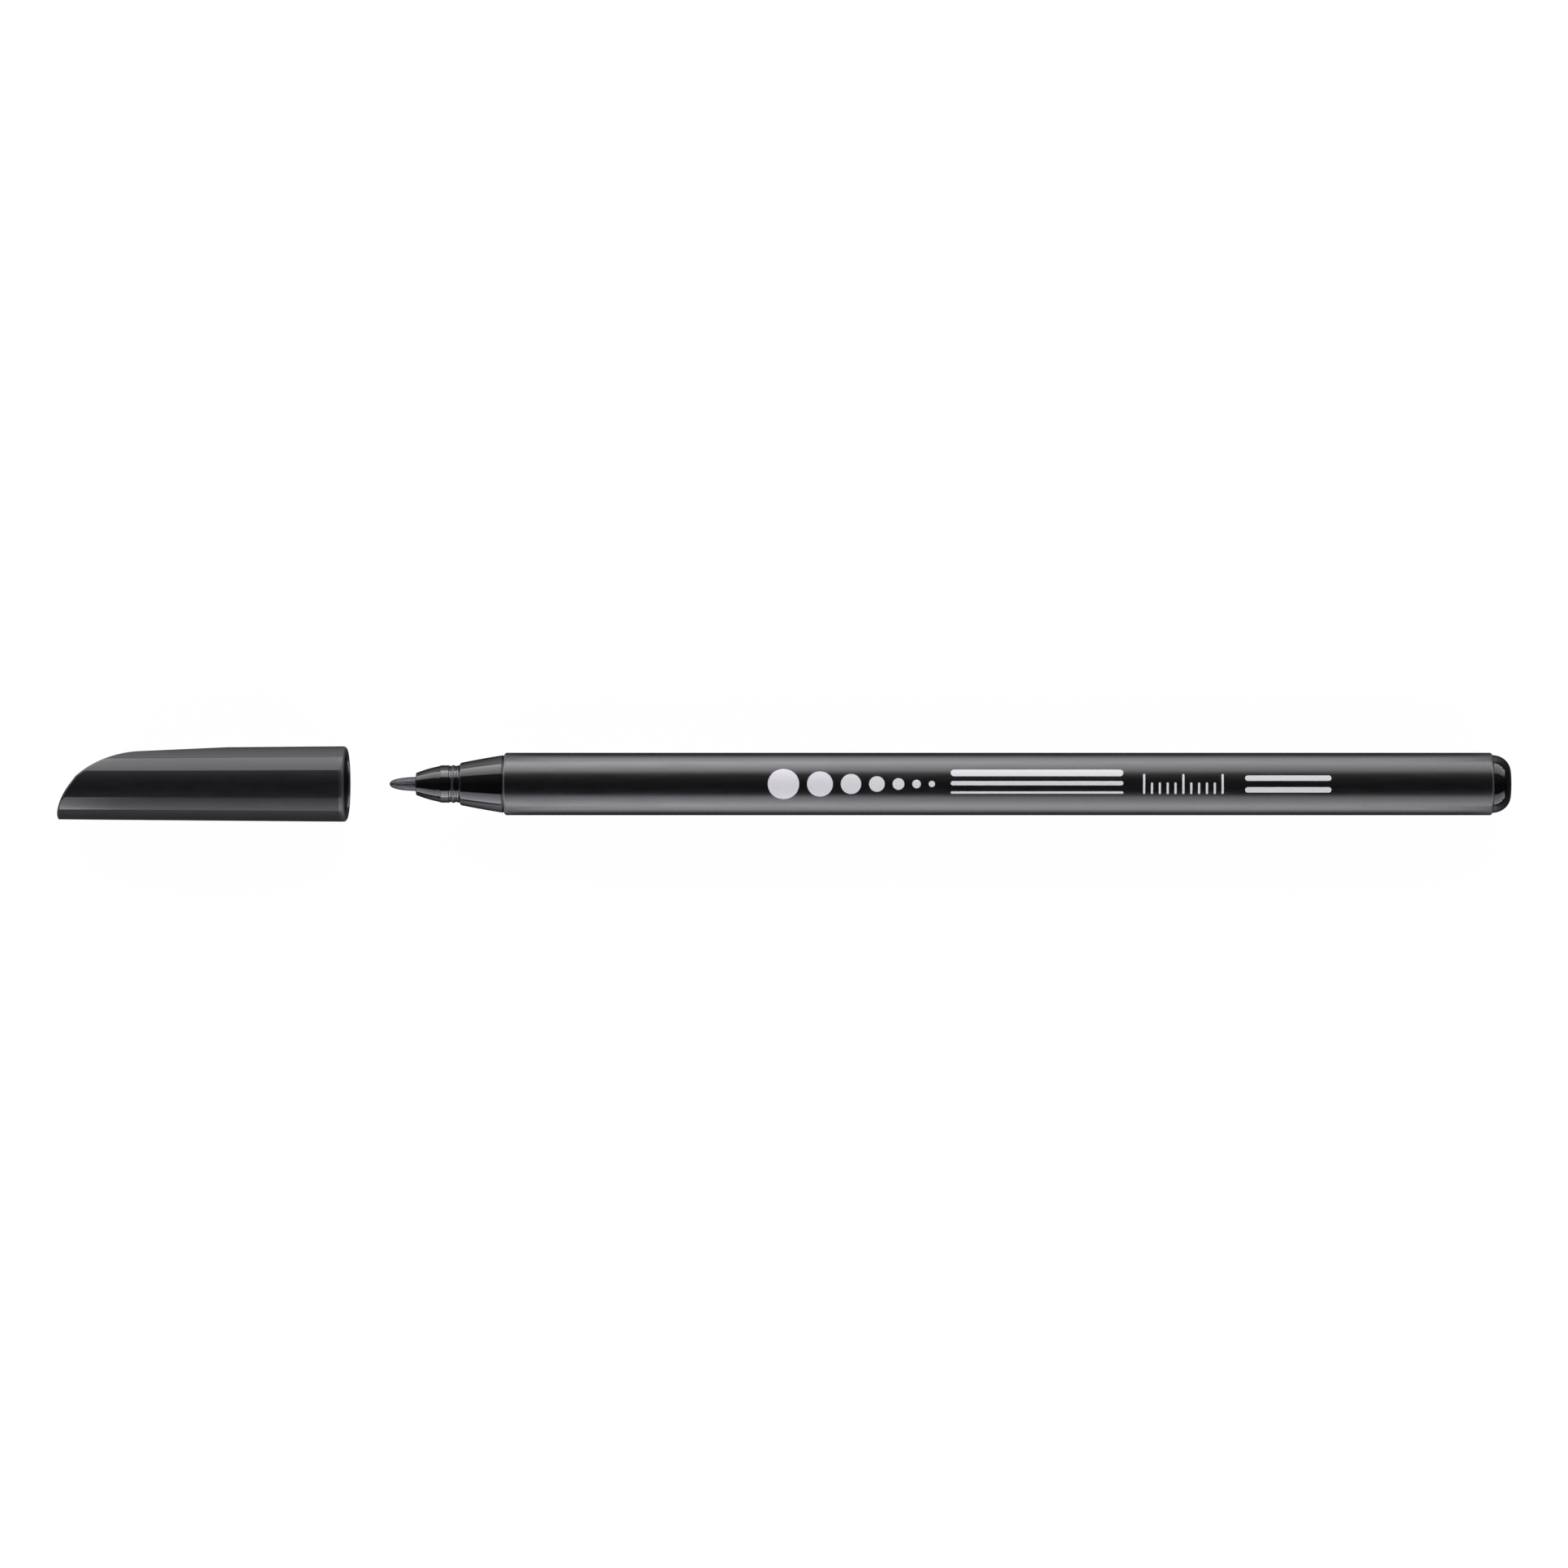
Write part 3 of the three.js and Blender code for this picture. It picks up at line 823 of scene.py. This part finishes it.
# Each plastic's last colour is its paler edge: partly wear, partly painted highlight.
barrel_plastic = moulded_plastic(
    "barrel_satin", (0.0036, 0.0036, 0.0039), (0.0050, 0.0050, 0.0053), (0.25, 0.31),
    ripple=0.004, grain=0.0012, worn_and_highlight=(0.09, 0.09, 0.092), ior=1.68)
gloss_plastic = moulded_plastic(
    "gloss_black", (0.0020, 0.0020, 0.0022), (0.0030, 0.0030, 0.0032), (0.04, 0.08),
    ripple=0.006, grain=0.0002, worn_and_highlight=(0.05, 0.05, 0.052))
cap_plastic = moulded_plastic(
    "cap_gloss", (0.0075, 0.0075, 0.0085), (0.0105, 0.0105, 0.0115), (0.38, 0.50),
    ripple=0.008, grain=0.0004, worn_and_highlight=(0.06, 0.06, 0.063))
lacquer(cap_plastic)
liner_plastic = moulded_plastic(
    "liner_matte", (0.014, 0.014, 0.015), (0.022, 0.022, 0.023), (0.45, 0.55),
    ripple=0.004, grain=0.002, worn_and_highlight=(0.05, 0.05, 0.05))
nib_fibre = fibre("nib_fibre", (0.005, 0.0045, 0.006), (0.128, 0.116, 0.135), 0.03, NIB_STRAND_SCALE)
reservoir_fibre = fibre("reservoir_fibre", (0.012, 0.010, 0.016), (0.05, 0.04, 0.055), 0.05,
                        RESERVOIR_STRAND_SCALE)

# Pieces

parts = (
    ("barrel", "barrel_tube", barrel_profile, barrel_plastic, "pen", "barrel_plastic"),
    ("front_section", "section_cone", section_profile, gloss_plastic, "pen", "gloss_black_plastic"),
    ("nib_holder", "nose", nose_profile, gloss_plastic, "pen", "gloss_black_plastic"),
    ("fibre_nib", "nib", nib_profile, nib_fibre, "pen", "nib_fibre"),
    ("tail_plug", "tail_dome", plug_profile, gloss_plastic, "pen", "gloss_black_plastic"),
    ("cap_liner", "liner_cup", liner_profile, liner_plastic, "cap", "liner_plastic"),
)
for node, name, profile, material, body, slot in parts:
    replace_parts(turned_piece(name, profile(), material, body), node)
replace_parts(grid_piece("cap_body", cap_shell_grids(), cap_plastic, "cap"), "cap_shell")
grid_piece("barrel_marks", print_marks(), silver_print(), "pen")

for node, material in (("ink_reservoir", reservoir_fibre), ("reservoir_sleeve", clear_film())):
    for material_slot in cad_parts[node].material_slots:
        material_slot.material = material


# Studio

def stage_floor():
    """A pale sheet. Light bouncing off it stays dim, and the plastic mirrors a painted glow on it that
    falls to nothing near the pen, a painted shadow, so that black plastic stays black.
    """
    material, tree, shader = new_material("floor_sheet")
    tree.nodes.remove(shader)
    path = add(tree, "ShaderNodeLightPath").outputs
    place = add(tree, "ShaderNodeTexCoord").outputs["Object"]
    parts_of = add(tree, "ShaderNodeSeparateXYZ", {"Vector": place}).outputs
    along = multiply(tree, parts_of["X"], 1 / MM)
    across = multiply(tree, parts_of["Y"], 1 / MM)
    away = add(tree, "ShaderNodeMath", {0: across}, operation="ABSOLUTE").outputs["Value"]
    is_far = add(tree, "ShaderNodeMath", {0: across, 1: 0.0}, operation="GREATER_THAN").outputs["Value"]
    side_share = add(tree, "ShaderNodeMix", {0: is_far, 2: levels(tree, along, NEAR_GLOW_SHARE),
                                             3: levels(tree, along, FAR_GLOW_SHARE)})
    by_place = add(tree, "ShaderNodeMix", {0: levels(tree, along, BARREL_GLOW_SHARE),
                                           2: levels(tree, away, FLOOR_GLOW),
                                           3: levels(tree, away, BARREL_GLOW)})
    glow = multiply(tree, by_place.outputs[0], side_share.outputs[0])
    mirrored = multiply(tree, path["Is Glossy Ray"], glow)
    seen = add(tree, "ShaderNodeMath", {0: path["Is Camera Ray"], 1: path["Is Transmission Ray"]},
               operation="MAXIMUM").outputs["Value"]
    diffuse_level = multiply(tree, levels(tree, away, FLOOR_DIFFUSE_SHARE), FLOOR_DIFFUSE)
    lit = multiply(tree, diffuse_level, FLOOR_LIT)
    own_level = add(tree, "ShaderNodeMath", {0: 1.0, 1: lit}, operation="SUBTRACT")
    shown = multiply(tree, seen, own_level.outputs["Value"])
    strength = add(tree, "ShaderNodeMath", {0: shown, 1: mirrored}, operation="ADD")
    tint = blend_colours(tree, path["Is Glossy Ray"], (1.0, 1.0, 1.0), GLOW_TINT)
    emission = add(tree, "ShaderNodeEmission", {"Color": tint, "Strength": strength.outputs["Value"]})
    diffuse = add(tree, "ShaderNodeBsdfDiffuse", {"Color": diffuse_level})
    both = add(tree, "ShaderNodeAddShader",
               {0: emission.outputs["Emission"], 1: diffuse.outputs["BSDF"]})
    output = tree.nodes["Material Output"]
    tree.links.new(both.outputs["Shader"], output.inputs["Surface"])
    half = FLOOR_SIZE / 2 * MM
    data = bpy.data.meshes.new("floor")
    corners = [(-half, -half, 0), (half, -half, 0), (half, half, 0), (-half, half, 0)]
    data.from_pydata(corners, [], [(0, 1, 2, 3)])
    data.materials.append(material)
    floor = bpy.data.objects.new("floor", data)
    bpy.context.scene.collection.objects.link(floor)


def softbox(name, side, tint, light_levels):
    """A long softbox on one side of the pen, brightest at its foot."""
    rise = SOFTBOX_TOP_HEIGHT
    run = SOFTBOX_FOOT - SOFTBOX_TOP_REACH
    length = SOFTBOX_RIGHT - SOFTBOX_LEFT
    width = math.hypot(rise, run)
    data = bpy.data.lights.new(name, "AREA")
    data.shape = "RECTANGLE"
    data.size = length * MM
    data.size_y = width * MM
    data.energy = math.pi * length * width * MM * MM
    data.color = tint
    data.use_nodes = True
    tree = data.node_tree
    where = add(tree, "ShaderNodeNewGeometry").outputs["Parametric"]
    parts_of = add(tree, "ShaderNodeSeparateXYZ", {"Vector": where}).outputs
    first, last = (SOFTBOX_LEFT, SOFTBOX_RIGHT) if side > 0 else (SOFTBOX_RIGHT, SOFTBOX_LEFT)
    along = spread(tree, parts_of["X"], 0.0, 1.0, first, last)
    for_pen = spread(tree, parts_of["Y"], 0.0, 1.0, *light_levels["pen"])
    for_cap = spread(tree, parts_of["Y"], 0.0, 1.0, *light_levels["cap"])
    radiance = add(tree, "ShaderNodeMix", {0: levels(tree, along, CAP_SHARE), 2: for_pen, 3: for_cap})
    level = multiply(tree, radiance.outputs[0], levels(tree, along, LENGTH_SHARE))
    tree.links.new(level, tree.nodes["Emission"].inputs["Strength"])
    light = bpy.data.objects.new(name, data)
    light.location = ((SOFTBOX_LEFT + SOFTBOX_RIGHT) / 2 * MM,
                      side * (SOFTBOX_FOOT + SOFTBOX_TOP_REACH) / 2 * MM,
                      rise / 2 * MM)
    tilt = math.atan2(run, rise) - math.pi / 2
    light.rotation_euler = (tilt, 0, 0 if side > 0 else math.pi)
    light.visible_camera = False
    bpy.context.scene.collection.objects.link(light)


def studio_world():
    """Pale where the camera looks past the floor, and a dark ceiling for what the plastic mirrors."""
    world = bpy.data.worlds.new("studio")
    bpy.context.scene.world = world
    world.use_nodes = True
    tree = world.node_tree
    path = add(tree, "ShaderNodeLightPath").outputs
    seen = add(tree, "ShaderNodeMath", {0: path["Is Camera Ray"], 1: path["Is Transmission Ray"]},
               operation="MAXIMUM").outputs["Value"]
    direction = add(tree, "ShaderNodeTexCoord").outputs["Generated"]
    parts_of = add(tree, "ShaderNodeSeparateXYZ", {"Vector": direction}).outputs
    ceiling = spread(tree, parts_of["Y"], 0.0, CEILING_REACH, *CEILING_LEVELS)
    strength = add(tree, "ShaderNodeMath", {0: ceiling, 1: seen}, operation="MAXIMUM")
    background = tree.nodes["Background"]
    background.inputs["Color"].default_value = (1.0, 1.0, 1.0, 1.0)
    tree.links.new(strength.outputs["Value"], background.inputs["Strength"])


def camera_above():
    data = bpy.data.cameras.new("camera")
    data.sensor_width = SENSOR_WIDTH
    data.lens = SENSOR_WIDTH * CAMERA_DISTANCE / PHOTO_WIDTH
    data.clip_end = CLIP_END * MM
    camera = bpy.data.objects.new("camera", data)
    camera.location = (CAMERA_X * MM, 0, (AXIS_HEIGHT + CAMERA_DISTANCE) * MM)
    data.shift_x = (PHOTO_CENTRE_X - CAMERA_X) / PHOTO_WIDTH
    bpy.context.scene.collection.objects.link(camera)
    bpy.context.scene.camera = camera


stage_floor()
softbox("softbox_far", 1, FAR_TINT, FAR_LIGHT)
softbox("softbox_near", -1, NEAR_TINT, NEAR_LIGHT)
studio_world()
camera_above()
bpy.context.scene.view_settings.view_transform = "Standard"
